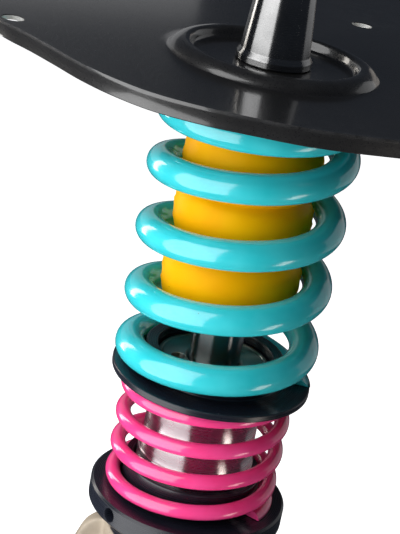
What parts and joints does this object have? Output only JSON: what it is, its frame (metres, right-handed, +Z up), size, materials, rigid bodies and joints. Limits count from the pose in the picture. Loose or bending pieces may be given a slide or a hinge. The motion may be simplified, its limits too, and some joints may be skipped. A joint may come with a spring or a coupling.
{
  "type": "coil-over suspension strut",
  "caption": "Coil-over suspension strut: damper with threaded height-adjustable perch, tender and main coil springs, foam bump stop, pressed top mounting plate and a bushed lower eye.",
  "frame": {"origin": "centre of the lower eye, on the axis of the bolt that passes through it", "axes": "+Z up along the piston rod towards the top plate; +Y along the lower eye's bolt axis, pointing to the back; the link lug stands out towards -X"},
  "size_m": [0.2216, 0.2627, 0.3935],
  "materials": {
    "black-plate": "satin black coating on pressed steel sheet",
    "dark-polished-steel": "turned and polished",
    "zinc-steel": "zinc plated",
    "chrome-rod": "hard chrome, mirror ground",
    "turquoise-powder": "gloss powder coat",
    "pink-powder": "gloss powder coat",
    "yellow-foam": "satin closed-cell polyurethane",
    "black-anodised": "black anodised",
    "polished-stainless": "polished stainless",
    "satin-aluminium": "satin turned",
    "cast-beige": "bead-blasted casting",
    "black-rubber": "matt",
    "white-nylon": "moulded",
    "bronze": "bearing bronze",
    "sintered-steel": "sintered"
  },
  "bodies": {
    "damper_body": {"damper_tube": "polished-stainless", "gland_cap": "satin-aluminium", "rod_seal": "black-rubber", "rod_guide": "sintered-steel", "guide_bush": "bronze", "inner_tube": "zinc-steel", "foot_valve": "sintered-steel", "foot_valve_shims": "zinc-steel", "foot_valve_screw": "zinc-steel", "base_cap": "zinc-steel", "bracket_lock_ring": "black-anodised", "lower_bracket": "cast-beige", "bush_outer_sleeve": "zinc-steel", "bush_rubber": "black-rubber"},
    "eye_sleeve": {"bush_inner_sleeve": "zinc-steel"},
    "perch_seat": {"perch_collar": "black-anodised", "tender_spring": "pink-powder"},
    "perch": {"perch_ring": "black-anodised", "perch_lock_ring": "black-anodised"},
    "divider": {"spring_divider": "black-anodised", "divider_bush": "white-nylon", "main_spring": "turquoise-powder"},
    "top": {"top_plate": "black-plate", "tapered_spacer": "dark-polished-steel", "top_washer": "zinc-steel", "top_nut": "zinc-steel", "piston_rod": "chrome-rod", "bump_stop_cup": "zinc-steel", "bump_stop": "yellow-foam", "rebound_stop": "white-nylon", "rebound_shims": "zinc-steel", "piston": "sintered-steel", "piston_band": "white-nylon", "compression_shims": "zinc-steel", "piston_nut": "zinc-steel"}
  },
  "joints": [
    {"name": "eye_twist", "type": "hinge", "parent": "damper_body", "child": "eye_sleeve", "pos_m": [0, 0, 0], "axis": [0, 1, 0], "range_deg": [-15, 15], "stiffness_Nm_per_rad": 60},
    {"name": "perch_height", "type": "slide", "parent": "damper_body", "child": "perch_seat", "axis": [0, 0, 1], "range_m": [0, 0.01]},
    {"name": "perch_turn", "type": "hinge", "parent": "perch_seat", "child": "perch", "pos_m": [0, 0, 0.118], "axis": [0, 0, 1], "range_deg": [0, 1800]},
    {"name": "tender_compression", "type": "slide", "parent": "perch_seat", "child": "divider", "axis": [0, 0, 1], "range_m": [-0.02, 0], "stiffness_N_per_m": 17000, "springref_m": 0.009, "deforming": ["tender_spring"]},
    {"name": "main_compression", "type": "slide", "parent": "divider", "child": "top", "axis": [0, 0, 1], "range_m": [-0.034, 0], "stiffness_N_per_m": 176000, "springref_m": 0.00087, "deforming": ["main_spring", "bump_stop"]}
  ],
  "couplings": [
    {"joint": "perch_height", "follows": "perch_turn", "m_per_rad": 0.0003183}
  ]
}
